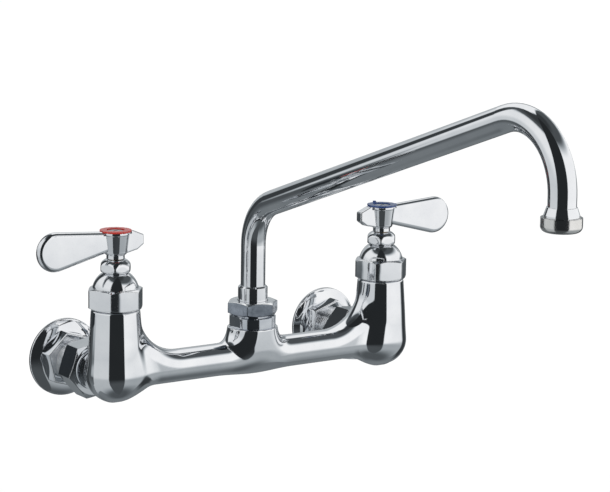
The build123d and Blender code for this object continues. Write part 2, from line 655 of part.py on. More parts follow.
def lever_handle():
    """Handle with its blade towards +X, notched round the index ring."""
    body = lever_blade() + lever_stub()
    body -= disc(INDEX_R + RING_SEAT_MARGIN, HUB_TOP_Z, HUB_TOP_Z + LEVER_TIP_R)
    body += lever_hub()
    socket = SQUARE_AF + 2 * SEAT_GAP
    body -= Pos(0, 0, (HANDLE_Z + STEM_TOP_Z) / 2) * Box(socket, socket, STEM_TOP_Z - HANDLE_Z)
    return body - disc(SCREW_HOLE_R, STEM_TOP_Z, HUB_TOP_Z)


def index_ring(tab):
    """Coloured ring round the screw, with a lobed rim."""
    body = disc(INDEX_R, HUB_TOP_Z, HUB_TOP_Z + INDEX_THICKNESS)
    for lobe in range(INDEX_LOBES):
        place = Rot(0, 0, lobe * 360 / INDEX_LOBES) * Pos(INDEX_R + INDEX_LOBE_R - INDEX_LOBE_DEPTH, 0, 0)
        body -= place * disc(INDEX_LOBE_R, HUB_TOP_Z, HUB_TOP_Z + INDEX_THICKNESS)
    if tab:
        at = INDEX_R - INDEX_LOBE_DEPTH - INDEX_TAB / 2
        top = HUB_TOP_Z + INDEX_THICKNESS
        body += Pos(0, at, top + INDEX_TAB_HEIGHT / 2) * Box(INDEX_TAB, INDEX_TAB, INDEX_TAB_HEIGHT)
    return body - disc(INDEX_BORE_R, HUB_TOP_Z, HUB_TOP_Z + INDEX_THICKNESS)


def handle_screw():
    """Slotted screw that holds the handle on the stem."""
    head_top = HUB_TOP_Z + SCREW_HEAD_HEIGHT
    head = turned(
        (0, HUB_TOP_Z),
        (SCREW_HEAD_R, HUB_TOP_Z),
        (SCREW_HEAD_R, head_top - SCREW_HEAD_HEIGHT / 2),
        (SCREW_HEAD_R - SCREW_HEAD_HEIGHT / 2, head_top),
        (0, head_top),
    )
    slot = Pos(0, 0, head_top - SCREW_SLOT_DEPTH / 2)
    slot = slot * Rot(0, 0, SCREW_TURN) * Box(2 * SCREW_HEAD_R, SCREW_SLOT_WIDTH, SCREW_SLOT_DEPTH)
    return head + disc(SCREW_R, HUB_TOP_Z - SCREW_LENGTH, HUB_TOP_Z) - slot


# ---------------------------------------------------------------- inlets, about +Z


def wall_flange(turn):
    """Inlet fitting in one piece: male thread, hex boss and dished wall flange."""
    rim_front = WALL_TO_VALVE - FLANGE_RIM
    crown = SagittaArc((BOSS_AF / 2, FLANGE_FACE), (FLANGE_R, rim_front), -FLANGE_CROWN)
    rest = Polyline(
        crown @ 1,
        (FLANGE_R, WALL_TO_VALVE),
        (INLET_BORE_R, WALL_TO_VALVE),
        (INLET_BORE_R, FITTING_START),
        (INLET_THREAD_R - FITTING_BEVEL, FITTING_START),
        (INLET_THREAD_R, FITTING_START + FITTING_BEVEL),
        (INLET_THREAD_R, FLANGE_FACE),
        crown @ 0,
    )
    body = spun(crown, rest)
    rim = body.edges().filter_by(GeomType.CIRCLE).group_by(SortBy.RADIUS)[-1]
    body = fillet(rim, FLANGE_EDGE_R)
    boss = hexagon(BOSS_AF, BOSS_START, FLANGE_FACE + FLANGE_CROWN, turn, FITTING_BEVEL)
    body += boss - disc(INLET_THREAD_R, BOSS_START, FLANGE_FACE + FLANGE_CROWN)
    body -= disc(SOCKET_R, WALL_TO_VALVE - SOCKET_DEPTH, WALL_TO_VALVE)
    dish = ring(FLANGE_DISH_TO_R, FLANGE_DISH_FROM_R, WALL_TO_VALVE - FLANGE_DISH_DEPTH, WALL_TO_VALVE)
    return body - dish


def coupling_nut(turn):
    """Union nut: its lip turns on the arm's spigot, its thread takes the fitting."""
    end = NUT_START + NUT_LENGTH
    nut = hexagon(NUT_AF, NUT_START, end, turn, HEX_BEVEL, HEX_BEVEL)
    nut -= disc(INLET_THREAD_R + THREAD_GAP, NUT_START + NUT_LIP, end)
    return nut - disc(SPIGOT_R + RUNNING_GAP, NUT_START, end)


def snap_ring():
    """Split ring in the spigot's groove that keeps the coupling nut on."""
    high = SNAP_START + SNAP_RING_THICKNESS
    body = ring(SNAP_RING_R, SPIGOT_R - SNAP_GROOVE_DEPTH + SEAT_GAP, SNAP_START, high)
    return body - Pos(0, SNAP_RING_R, SNAP_START) * Box(SNAP_RING_GAP, SNAP_RING_R, 2 * high)


def inlet_washer():
    """Flat rubber washer between the spigot and the fitting."""
    return ring(INLET_THREAD_R - SIDE_GAP, INLET_BORE_R + SIDE_GAP, SPIGOT_END, FITTING_START)


# ---------------------------------------------------------------- spout


def swivel_adapter():
    """Collared fitting in the boss with the bore that the spout swivels in."""
    edge = ADAPTER_EDGE
    collar = turned(
        (0, CENTRE_HUB_TOP_Z),
        (ADAPTER_R - edge, CENTRE_HUB_TOP_Z),
        (ADAPTER_R, CENTRE_HUB_TOP_Z + edge),
        (ADAPTER_R, ADAPTER_TOP_Z - edge),
        (ADAPTER_R - edge, ADAPTER_TOP_Z),
        (0, ADAPTER_TOP_Z),
    )
    body = disc(ADAPTER_THREAD_R, ADAPTER_END_Z, CENTRE_HUB_TOP_Z)
    body += collar & Box(ADAPTER_AF, 2 * ADAPTER_R, 2 * ADAPTER_TOP_Z)
    body += disc(SWIVEL_THREAD_R, ADAPTER_TOP_Z, SWIVEL_RIM_Z)
    return body - disc(FERRULE_SPIGOT_R + RUNNING_GAP, ADAPTER_END_Z, SWIVEL_RIM_Z)


def spout_nut():
    """Nut that holds the ferrule's flange down."""
    low = ADAPTER_TOP_Z + SPOUT_NUT_GAP
    nut = hexagon(SPOUT_NUT_AF, low, SPOUT_NUT_TOP_Z, SPOUT_NUT_TURN, HEX_BEVEL, HEX_BEVEL)
    nut -= disc(SWIVEL_THREAD_R + THREAD_GAP, low, SPOUT_NUT_ROOF_Z)
    return nut - disc(SLEEVE_R + SIDE_GAP, low, SPOUT_NUT_TOP_Z)


def thrust_ring():
    """Plastic ring that the ferrule's flange turns on."""
    return ring(FERRULE_FLANGE_R, FERRULE_SPIGOT_R + SEAT_GAP, SWIVEL_RIM_Z, SWIVEL_RIM_Z + THRUST_THICKNESS)


def spout_ferrule():
    """Spigot, flange and sleeve that carry the tube."""
    edge = SLEEVE_EDGE_R
    body = turned(
        (FERRULE_BORE_R, SPIGOT_END_Z),
        (FERRULE_SPIGOT_R, SPIGOT_END_Z),
        (FERRULE_SPIGOT_R, FERRULE_FLANGE_Z),
        (FERRULE_FLANGE_R, FERRULE_FLANGE_Z),
        (FERRULE_FLANGE_R, SLEEVE_Z),
        (SLEEVE_R, SLEEVE_Z),
        (SLEEVE_R, SLEEVE_TOP_Z - edge),
        (SLEEVE_R - edge, SLEEVE_TOP_Z),
        (TUBE_R + RUNNING_GAP, SLEEVE_TOP_Z),
        (TUBE_R + RUNNING_GAP, TUBE_FOOT_Z),
        (FERRULE_BORE_R, TUBE_FOOT_Z),
    )
    for level in SPOUT_ORING_LEVELS:
        body -= groove(FERRULE_SPIGOT_R + RUNNING_GAP, SPOUT_ORING_WIRE_R, SPIGOT_END_Z + level)
    return body


def spout_oring(level):
    return oring(FERRULE_SPIGOT_R + RUNNING_GAP / 2, SPOUT_ORING_WIRE_R, SPIGOT_END_Z + level)


def spout_tube():
    """Bent tube: riser, rising slope and a short leg down to the outlet."""
    path = FilletPolyline(
        (0, 0, TUBE_FOOT_Z),
        (0, 0, TUBE_CORNER_Z),
        (0, -SPOUT_REACH, TUBE_TOP_CORNER_Z),
        (0, -SPOUT_REACH, TUBE_END_Z),
        radius=(TUBE_FOOT_BEND_R, TUBE_TOP_BEND_R),
    )
    section = Pos(0, 0, TUBE_FOOT_Z) * (Circle(TUBE_R) - Circle(TUBE_R - TUBE_WALL))
    return sweep(section, path=path)


# ---------------------------------------------------------------- outlet


def outlet_nozzle():
    """Flared end with the male thread for the aerator."""
    bore = TUBE_R + RUNNING_GAP
    return turned(
        (bore, TUBE_END_Z),
        (bore, TUBE_END_Z + NOZZLE_TOP_RISE),
        (bore + NOZZLE_TOP_WALL, TUBE_END_Z + NOZZLE_TOP_RISE),
        (NOZZLE_R, TUBE_END_Z),
        (NOZZLE_R, NOZZLE_SHOULDER_Z),
        (NOZZLE_THREAD_R, NOZZLE_SHOULDER_Z),
        (NOZZLE_THREAD_R, NOZZLE_END_Z),
        (NOZZLE_BORE_R, NOZZLE_END_Z),
        (NOZZLE_BORE_R, TUBE_END_Z),
    )


def aerator_housing():
    """Threaded cap with a rounded foot and a lip under the insert."""
    foot = JernArc((HOUSING_R, OUTLET_Z + HOUSING_CORNER_R), (0, -1), HOUSING_CORNER_R, -90)
    bore = NOZZLE_THREAD_R + THREAD_GAP
    rest = Polyline(
        foot @ 1,
        (HOUSING_MOUTH_R, OUTLET_Z),
        (HOUSING_MOUTH_R, OUTLET_Z + HOUSING_LIP),
        (bore, OUTLET_Z + HOUSING_LIP),
        (bore, HOUSING_TOP_Z),
        (HOUSING_R, HOUSING_TOP_Z),
        foot @ 0,
    )
    return spun(foot, rest)


def aerator_insert():
    """Perforated insert that stands on the housing's lip."""
    lip = OUTLET_Z + HOUSING_LIP
    body = disc(NOZZLE_THREAD_R, lip, AERATOR_WASHER_Z)
    body += disc(HOUSING_MOUTH_R - SEAT_GAP, lip - INSERT_SKIRT, lip)
    hole = disc(INSERT_HOLE_R, lip - INSERT_SKIRT, AERATOR_WASHER_Z)
    body -= hole
    for rank in range(1, INSERT_RING_COUNT + 1):
        for turn in range(0, 360, 60 // rank):
            body -= Rot(0, 0, turn) * Pos(rank * INSERT_RING_STEP, 0, 0) * hole
    return body


def aerator_washer():
    """Flat rubber washer between the nozzle and the insert."""
    return ring(NOZZLE_THREAD_R, NOZZLE_BORE_R, AERATOR_WASHER_Z, NOZZLE_END_Z)


# ---------------------------------------------------------------- assembly


def valve_pieces(name, side, cap_turn, packing_turn, tab):
    """All pieces of one valve; side is +1 for the cold and -1 for the hot valve."""
    half_turn = Rot(0, 0, 0 if side > 0 else 180)
    pieces = {
        "cap_nut": cap_nut(cap_turn),
        "cartridge_body": cartridge_body(),
        "packing_nut": packing_nut(packing_turn),
        "packing_ring": packing_ring(),
        "fixed_disc": fixed_disc(),
        "moving_disc": moving_disc(),
        "seat_seal": seat_seal(),
        "cartridge_oring": cartridge_oring(),
        "stem": stem(),
        "lever_handle": half_turn * lever_handle(),
        "index_ring": index_ring(tab),
        "handle_screw": handle_screw(),
    }
    place = Pos(side * VALVE_X, VALVE_Y, 0)
    return {f"{name}_{piece}": place * shape for piece, shape in pieces.items()}


def inlet_pieces(name, side, nut_turn, boss_turn):
    """All pieces of one inlet."""
    pieces = {
        "wall_flange": wall_flange(boss_turn),
        "coupling_nut": coupling_nut(nut_turn),
        "snap_ring": snap_ring(),
        "inlet_washer": inlet_washer(),
    }
    place = Pos(side * VALVE_X, VALVE_Y, 0)
    return {f"{name}_{piece}": place * along_y(shape) for piece, shape in pieces.items()}


def spout_pieces():
    """Everything on the swivel axis, and the outlet at the end of the spout."""
    lower, upper = SPOUT_ORING_LEVELS
    centre = {
        "faucet_body": faucet_body(),
        "swivel_adapter": swivel_adapter(),
        "spout_nut": spout_nut(),
        "thrust_ring": thrust_ring(),
        "spout_ferrule": spout_ferrule(),
        "spout_lower_oring": spout_oring(lower),
        "spout_upper_oring": spout_oring(upper),
        "spout_tube": spout_tube(),
    }
    outlet = {
        "outlet_nozzle": outlet_nozzle(),
        "aerator_housing": aerator_housing(),
        "aerator_insert": aerator_insert(),
        "aerator_washer": aerator_washer(),
    }
    pieces = {name: Pos(0, VALVE_Y, 0) * shape for name, shape in centre.items()}
    pieces |= {name: Pos(0, OUTLET_Y, 0) * shape for name, shape in outlet.items()}
    return pieces


def all_pieces():
    pieces = spout_pieces()
    pieces |= valve_pieces("hot", -1, HOT_CAP_TURN, HOT_PACKING_TURN, tab=False)
    pieces |= valve_pieces("cold", 1, COLD_CAP_TURN, COLD_PACKING_TURN, tab=True)
    pieces |= inlet_pieces("hot", -1, HOT_NUT_TURN, HOT_BOSS_TURN)
    pieces |= inlet_pieces("cold", 1, COLD_NUT_TURN, COLD_BOSS_TURN)
    return pieces


for node, shape in all_pieces().items():
    solids = shape.solids()
    assert len(solids) == 1, f"{node} has {len(solids)} solids"
    export_step(solids[0], f"parts/{node}.step")
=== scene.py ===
"""Looks of the wall faucet: camera, studio, chrome and the other finishes, and finer turned detail.

Metres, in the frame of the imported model: +Z up, +X towards the cold valve, +Y into the wall.
The forms are worked out in millimetres, and their meshes are made in metres.
"""

import json
from math import cos, radians, sin

import bmesh
import bpy
import numpy as np
from mathutils import Matrix, Vector

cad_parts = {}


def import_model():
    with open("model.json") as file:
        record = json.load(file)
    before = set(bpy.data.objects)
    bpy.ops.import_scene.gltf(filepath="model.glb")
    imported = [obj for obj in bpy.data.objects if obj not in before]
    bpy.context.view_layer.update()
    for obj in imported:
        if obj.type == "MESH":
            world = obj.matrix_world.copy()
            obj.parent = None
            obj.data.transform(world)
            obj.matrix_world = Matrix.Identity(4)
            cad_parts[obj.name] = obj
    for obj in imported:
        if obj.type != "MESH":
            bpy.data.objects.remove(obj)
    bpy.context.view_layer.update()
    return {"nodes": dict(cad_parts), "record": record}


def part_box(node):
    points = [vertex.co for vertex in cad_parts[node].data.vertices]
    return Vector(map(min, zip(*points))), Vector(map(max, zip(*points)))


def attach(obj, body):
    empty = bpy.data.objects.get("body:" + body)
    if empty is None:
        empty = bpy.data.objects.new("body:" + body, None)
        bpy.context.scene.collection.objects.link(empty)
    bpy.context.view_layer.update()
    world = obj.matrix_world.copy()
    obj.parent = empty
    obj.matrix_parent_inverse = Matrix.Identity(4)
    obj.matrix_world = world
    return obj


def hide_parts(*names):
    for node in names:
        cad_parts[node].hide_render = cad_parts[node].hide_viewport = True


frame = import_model()
nodes = frame["nodes"]
scene = bpy.context.scene
scene.view_settings.view_transform = "Standard"

MM = 0.001

# ---------------------------------------------------------------- camera
CAMERA_AT = Vector((-0.8210, -1.3433, 0.3509))
CAMERA_HEADING = radians(34.03)     # to the right of +Y
CAMERA_DIP = radians(10.31)
CAMERA_ROLL = radians(0.86)
CAMERA_LENS = 141.15                # mm
CAMERA_SENSOR = 36                  # mm wide


def photo_camera():
    """The camera that took the photograph."""
    ahead = Vector((sin(CAMERA_HEADING) * cos(CAMERA_DIP),
                    cos(CAMERA_HEADING) * cos(CAMERA_DIP),
                    -sin(CAMERA_DIP)))
    level = Vector((cos(CAMERA_HEADING), -sin(CAMERA_HEADING), 0))
    above = level.cross(ahead)
    right = cos(CAMERA_ROLL) * level + sin(CAMERA_ROLL) * above
    up = cos(CAMERA_ROLL) * above - sin(CAMERA_ROLL) * level
    data = bpy.data.cameras.new("photo_camera")
    data.lens = CAMERA_LENS
    data.sensor_width = CAMERA_SENSOR
    camera = bpy.data.objects.new("photo_camera", data)
    turn = Matrix((right, up, -ahead)).transposed().to_4x4()
    camera.matrix_world = Matrix.Translation(CAMERA_AT) @ turn
    scene.collection.objects.link(camera)
    scene.camera = camera


# ---------------------------------------------------------------- node helpers
class Shader:
    """A node tree under construction: node types are made by name and wired by socket."""

    def __init__(self, owner, keep=False):
        owner.use_nodes = True
        self.tree = owner.node_tree
        if not keep:
            self.tree.nodes.clear()

    def node(self, kind, **settings):
        """Makes a node; a keyword sets a property, or a socket where its name has no property."""
        made = self.tree.nodes.new(kind)
        for key, value in settings.items():
            if hasattr(made, key):
                setattr(made, key, value)
            else:
                self.feed(made.inputs[key.replace("_", " ")], value)
        return made

    def feed(self, socket, value):
        """Gives a socket a number, a colour or another node's output."""
        if isinstance(value, bpy.types.NodeSocket):
            self.tree.links.new(value, socket)
        else:
            socket.default_value = value

    def output(self, shader, kind="ShaderNodeOutputMaterial"):
        """Sends a shader node to the output of the tree."""
        self.feed(self.node(kind).inputs[0], shader.outputs[0])

    def math(self, operation, a, b):
        """Arithmetic on two numbers."""
        made = self.node("ShaderNodeMath", operation=operation)
        self.feed(made.inputs[0], a)
        self.feed(made.inputs[1], b)
        return made.outputs[0]

    def remap(self, value, low, high, to_low=0.0, to_high=1.0):
        """A number that was low to high, stretched to other limits and held there."""
        made = self.node("ShaderNodeMapRange")
        for socket, number in zip(made.inputs, (value, low, high, to_low, to_high)):
            self.feed(socket, number)
        return made.outputs[0]

    def place(self):
        """Where a point is, in the object's own metres."""
        return self.node("ShaderNodeTexCoord").outputs["Object"]

    def upward(self, vector):
        """The Z part of a vector."""
        parts = self.node("ShaderNodeSeparateXYZ")
        self.feed(parts.inputs[0], vector)
        return parts.outputs[2]

    def noise(self, scale, detail=2.0, roughness=0.5, stretch=(1, 1, 1), seed=0.0):
        """Noise in object space; scale is in cells per metre, and seed moves it."""
        mapping = self.node("ShaderNodeMapping", Location=(seed, seed, seed), Scale=stretch)
        self.feed(mapping.inputs["Vector"], self.place())
        made = self.node("ShaderNodeTexNoise", Scale=scale, Detail=detail, Roughness=roughness)
        self.feed(made.inputs["Vector"], mapping.outputs[0])
        return made.outputs["Fac"]

    def blend(self, amount, low, high):
        """A colour between two."""
        made = self.node("ShaderNodeMix", data_type="RGBA")
        self.feed(made.inputs[0], amount)
        # Its sockets 6 and 7 and its output 2 are the ones for colours
        for socket, colour in ((made.inputs[6], low), (made.inputs[7], high)):
            self.feed(socket, (*colour, 1) if isinstance(colour, tuple) else colour)
        return made.outputs[2]

    def bump(self, height, distance, normal=None):
        """Normal of a surface that a height lifts by a distance."""
        made = self.node("ShaderNodeBump", Distance=distance, Height=height)
        if normal is not None:
            self.feed(made.inputs["Normal"], normal)
        return made.outputs[0]

    def rounded(self, radius):
        """Normal that rounds the edges by a radius."""
        return self.node("ShaderNodeBevel", samples=4, Radius=radius).outputs[0]

    def finish(self, **sockets):
        """The surface itself: a keyword feeds a socket of the principled shader."""
        self.output(self.node("ShaderNodeBsdfPrincipled", **sockets))


# ---------------------------------------------------------------- materials
# Colours of metals, clean and hazed
CHROME = ((0.885, 0.895, 0.91), (0.80, 0.815, 0.84))
WORN_CHROME = ((0.78, 0.80, 0.83), (0.62, 0.65, 0.70))
# Painted shade: a dark chrome tint, clean and hazed, that darkens the spout nut's sides
SHADE_PAINTED_CHROME = ((0.30, 0.335, 0.38), (0.14, 0.16, 0.19))
NICKEL = ((0.80, 0.79, 0.77), (0.70, 0.69, 0.67))
BARE_BRASS = (0.70, 0.48, 0.18)
PLATING_OVERLAP = 0.5 * MM          # how far the neck's plating reaches into the cap nut
PAINTED_TOP_LIGHT = (0.2, 0.6)                 # Z of a normal, where the painted highlight on faces turned upwards starts and ends


def chrome(name, wave, wave_size, edge, satin=0.0, tint=CHROME):
    """Polished chrome: soft waves left by the polishing, faint haze, hairlines, rounded edges.

    wave and wave_size are the waves' height and width, edge is the radius of the edges, satin
    adds to the roughness, and tint is the colour where it is clean and where it is hazed.
    """
    material = bpy.data.materials.new(name)
    s = Shader(material)
    haze = s.noise(scale=55, detail=3, roughness=0.6)
    hairlines = s.noise(scale=900, detail=2, roughness=0.7, stretch=(1, 1, 0.06), seed=3.1)
    colour = s.blend(s.remap(haze, 0.35, 0.7), *tint)
    rough = s.math("ADD", s.remap(haze, 0.3, 0.75, 0.025 + satin, 0.06 + satin),
                   s.remap(hairlines, 0.55, 0.8, 0, 0.05))
    waves = s.noise(scale=1 / wave_size, detail=1.5, roughness=0.4, seed=1.7)
    normal = s.bump(waves, wave, s.rounded(edge) if edge else None)
    s.finish(Base_Color=colour, Metallic=1.0, Roughness=rough, Normal=normal)
    return material


def reopen(material):
    """A finished material's tree, the socket of its colour, and what feeds that now."""
    s = Shader(material, keep=True)
    surface = next(node for node in s.tree.nodes if node.type == "BSDF_PRINCIPLED")
    socket = surface.inputs["Base Color"]
    return s, socket, socket.links[0].from_socket


def plated_brass(name, plated_from):
    """Bare brass inside the valve, chromed above a height."""
    material = chrome(name, wave=0.02 * MM, wave_size=12 * MM, edge=0.2 * MM)
    s, socket, shine = reopen(material)
    plating = s.math("GREATER_THAN", s.upward(s.place()), plated_from)
    s.feed(socket, s.blend(plating, BARE_BRASS, shine))
    return material


def coarse_chrome_painted_light(name):
    """Chrome over grainy flats, darkened by a painted shade tint, with a painted highlight on faces
    turned upwards.
    """
    material = chrome(name, wave=0.1 * MM, wave_size=4 * MM, edge=0.8 * MM, satin=0.06,
                      tint=SHADE_PAINTED_CHROME)
    s, socket, painted_shade = reopen(material)
    # Painted highlight: faces turned upwards blend from the painted shade to bright chrome
    top_light_mask = s.upward(s.node("ShaderNodeNewGeometry").outputs["Normal"])
    s.feed(socket, s.blend(s.remap(top_light_mask, *PAINTED_TOP_LIGHT), painted_shade, CHROME[0]))
    return material


def plastic(name, low, high, rough, coat=0.0, grain=0.02 * MM):
    """Moulded plastic, mottled between two colours, with an orange-peel skin."""
    material = bpy.data.materials.new(name)
    s = Shader(material)
    mottle = s.noise(scale=320, detail=3, roughness=0.6)
    peel = s.noise(scale=1400, detail=2, roughness=0.5, seed=2.2)
    s.finish(Base_Color=s.blend(s.remap(mottle, 0.35, 0.65), low, high),
             Roughness=s.remap(mottle, 0.3, 0.7, rough, rough + 0.1),
             Normal=s.bump(peel, grain, s.rounded(0.25 * MM)),
             Coat_Weight=coat, Coat_Roughness=0.08)
    return material


def turned_metal(name, low, high, rough):
    """Bare turned or brushed metal with fine tool marks round its axis."""
    material = bpy.data.materials.new(name)
    s = Shader(material)
    marks = s.noise(scale=2600, detail=2, roughness=0.6, stretch=(0.03, 0.03, 1), seed=0.4)
    stain = s.noise(scale=70, detail=3, roughness=0.6, seed=5)
    s.finish(Base_Color=s.blend(s.remap(stain, 0.3, 0.7), low, high), Metallic=1.0,
             Roughness=s.remap(marks, 0.3, 0.7, rough, rough + 0.12),
             Normal=s.bump(marks, 0.01 * MM, s.rounded(0.25 * MM)))
    return material


# One finish for each material slot of the record
finishes = {
    "cast_chrome": chrome("cast_chrome", wave=0.06 * MM, wave_size=30 * MM, edge=0),
    "tube_chrome": chrome("tube_chrome", wave=0.03 * MM, wave_size=30 * MM, edge=0.2 * MM),
    "fitting_chrome": chrome("fitting_chrome", wave=0.02 * MM, wave_size=12 * MM, edge=0.35 * MM),
    "handle_chrome": chrome("handle_chrome", wave=0.03 * MM, wave_size=20 * MM, edge=0.3 * MM),
    "screw_steel": turned_metal("screw_steel", (0.55, 0.56, 0.57), (0.68, 0.69, 0.70), 0.18),
    "red_index": plastic("red_index", (0.52, 0.022, 0.012), (0.66, 0.038, 0.02), 0.3, coat=0.5),
    "blue_index": plastic("blue_index", (0.010, 0.045, 0.19), (0.018, 0.075, 0.27), 0.3, coat=0.5),
    "brass": turned_metal("brass", (0.63, 0.42, 0.15), (0.76, 0.54, 0.22), 0.22),
    "ceramic": plastic("ceramic", (0.76, 0.74, 0.70), (0.84, 0.82, 0.78), 0.15, coat=0.3),
    "rubber": plastic("rubber", (0.012, 0.012, 0.013), (0.028, 0.028, 0.03), 0.55, grain=0.05 * MM),
    "white_plastic": plastic("white_plastic", (0.70, 0.69, 0.66), (0.80, 0.79, 0.76), 0.4),
    "satin_nickel": chrome("satin_nickel", wave=0.02 * MM, wave_size=12 * MM, edge=0.3 * MM,
                           satin=0.12, tint=NICKEL),
    "grey_plastic": plastic("grey_plastic", (0.20, 0.20, 0.21), (0.28, 0.28, 0.29), 0.45),
}

# Pieces whose finish differs from the rest of their slot
edged_finish = chrome("edged_chrome", wave=0.03 * MM, wave_size=12 * MM, edge=0.6 * MM)
cap_finish = chrome("cap_chrome", wave=0.05 * MM, wave_size=12 * MM, edge=0.8 * MM)
neck_finish = plated_brass("plated_brass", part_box("hot_cap_nut")[1][2] - PLATING_OVERLAP)
own_finish = {
    # Painted shade on the spout nut's sides and a painted highlight on its top faces
    "spout_nut": coarse_chrome_painted_light("nut_chrome_painted_light"),
    "swivel_adapter": chrome("adapter_chrome", wave=0.03 * MM, wave_size=6 * MM, edge=0.3 * MM,
                             satin=0.03, tint=WORN_CHROME),
    "hot_cap_nut": cap_finish,
    "cold_cap_nut": cap_finish,
    "hot_cartridge_body": neck_finish,
    "cold_cartridge_body": neck_finish,
}


def dress(piece, slot, own=None):
    """Gives a piece its own finish, or else the finish of its material slot."""
    piece.data.materials.clear()
    piece.data.materials.append(own or finishes[slot])


def dress_nodes():
    """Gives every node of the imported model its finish."""
    for part in frame["record"]["subparts"]:
        node = part["node"]
        dress(nodes[node], part["material_slot"], own_finish.get(node))


# ---------------------------------------------------------------- pieces and their meshes
def add_piece(name, mesh, slot, rides, *stands_for, own=None):
    """Puts a new piece on its body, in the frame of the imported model."""
    piece = bpy.data.objects.new(name, mesh)
    scene.collection.objects.link(piece)
    dress(piece, slot, own)
    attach(piece, rides)
    if stands_for:
        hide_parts(*stands_for)


def box_mm(node):
    """Lowest and highest corner of a node at rest, in millimetres."""
    low, high = np.array(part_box(node)) / MM
    return low, high


def mesh_copy(node, name):
    """A copy of a node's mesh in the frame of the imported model, and its points in millimetres."""
    mesh = nodes[node].data.copy()
    mesh.name = name
    mesh.transform(nodes[node].matrix_world)
    points = np.empty(len(mesh.vertices) * 3)
    mesh.vertices.foreach_get("co", points)
    return mesh, points.reshape(-1, 3) / MM


def smooth_mesh(name, points, faces):
    """Smooth-shaded mesh of points in millimetres."""
    mesh = bpy.data.meshes.new(name)
    mesh.from_pydata(points * MM, [], faces)
    mesh.shade_smooth()
    return mesh


def ring_quads(rows, around):
    """Quads between rows of points that each go once round."""
    i, j = np.meshgrid(np.arange(rows - 1), np.arange(around), indexing="ij")
    k = (j + 1) % around
    row, following = i * around, (i + 1) * around
    return np.stack([row + j, row + k, following + k, following + j], axis=-1).reshape(-1, 4)


def lathe(name, profile, centre=(0, 0, 0), around=96):
    """Smooth mesh of (radius, height) points in millimetres turned about a vertical axis."""
    angle = np.linspace(0, 2 * np.pi, around, endpoint=False)
    r, z = np.array(profile, float).T
    points = np.stack([np.outer(r, np.cos(angle)),
                       np.outer(r, np.sin(angle)),
                       np.repeat(z[:, None], around, axis=1)], axis=-1) + centre
    return smooth_mesh(name, points.reshape(-1, 3), ring_quads(len(profile), around))


# ---------------------------------------------------------------- skins of distance fields
SLOPE_STEP = 0.02           # mm, half the span that a slope is measured over
SETTLING = 4                # times that the points are drawn onto the surface
CORNER_TO_FLAT = 30         # degrees, round a hexagon


def smooth(x):
    """0 up to 0, 1 from 1, and an even rise between."""
    x = np.clip(x, 0, 1)
    return x * x * (3 - 2 * x)


def melt(a, b, width):
    """The smaller of two distances, rounded over a width."""
    overlap = np.maximum(width - np.abs(a - b), 0) / width
    return np.minimum(a, b) - overlap**2 * width / 4


def cut_at(a, b, width):
    """The larger of two distances, rounded over a width."""
    return -melt(-a, -b, width)


def six_flats(u, v, first):
    """How far out points lie along six directions, the first of them at an angle in degrees."""
    return [u * cos(at) + v * sin(at) for at in np.radians(first + 2 * CORNER_TO_FLAT * np.arange(6))]


def slope(field, points):
    """Gradient of a field at points."""
    found = np.empty_like(points)
    for axis, shift in enumerate(SLOPE_STEP * np.eye(3)):
        rise = field(*(points + shift).T) - field(*(points - shift).T)
        found[:, axis] = rise / (2 * SLOPE_STEP)
    return found


def crossings(value, axes, step, axis):
    """Where a field changes sign along one axis of its grid.

    Gives the points, the four cells round each, and whether those run outwards as they are.
    """
    others = [a for a in range(3) if a != axis]
    inner = np.array(value.shape)[others] - 1
    where = np.argwhere(np.diff(value < 0, axis=axis))
    where = where[np.all((where[:, others] > 0) & (where[:, others] < inner), axis=1)]
    beyond = where.copy()
    beyond[:, axis] += 1
    v0, v1 = value[tuple(where.T)], value[tuple(beyond.T)]
    points = np.stack([axes[a][where[:, a]] for a in range(3)], axis=1)
    points[:, axis] += step * v0 / (v0 - v1)
    cells = []
    for back in ((1, 1), (0, 1), (0, 0), (1, 0)):
        cell = where.copy()
        cell[:, others] -= back
        cells.append(cell)
    return points, cells, (v0 < 0) == (axis != 1)


def skin(field, low, high, step):
    """Quads of a field's zero surface, with every point and normal exactly on it."""
    axes = [np.arange(a, b + step, step) for a, b in zip(low, high)]
    value = field(*np.meshgrid(*axes, indexing="ij"))
    found = [crossings(value, axes, step, axis) for axis in range(3)]
    shape = np.array(value.shape) - 1
    total, count = np.zeros((*shape, 3)), np.zeros(shape)
    for crossing, cells, _ in found:
        for cell in cells:
            np.add.at(total, tuple(cell.T), crossing)
            np.add.at(count, tuple(cell.T), 1)
    used = count > 0
    number = np.full(shape, -1)
    number[used] = np.arange(used.sum())
    points = total[used] / count[used][:, None]
    for _ in range(SETTLING):
        steepest = slope(field, points)
        points -= steepest * (field(*points.T) / np.sum(steepest * steepest, axis=1))[:, None]
    normals = slope(field, points)
    normals /= np.linalg.norm(normals, axis=1)[:, None]
    quads = []
    for _, cells, outward in found:
        quad = np.stack([number[tuple(cell.T)] for cell in cells], axis=1)
        quads.append(np.where(outward[:, None], quad, quad[:, ::-1]))
    return points, normals, np.concatenate(quads)


def skin_mesh(name, field, low, high, step, origin):
    """Mesh of a field that is given in millimetres about an origin."""
    points, normals, quads = skin(field, low, high, step)
    mesh = smooth_mesh(name, points + origin, quads)
    mesh.normals_split_custom_set_from_vertices(normals)
    return mesh


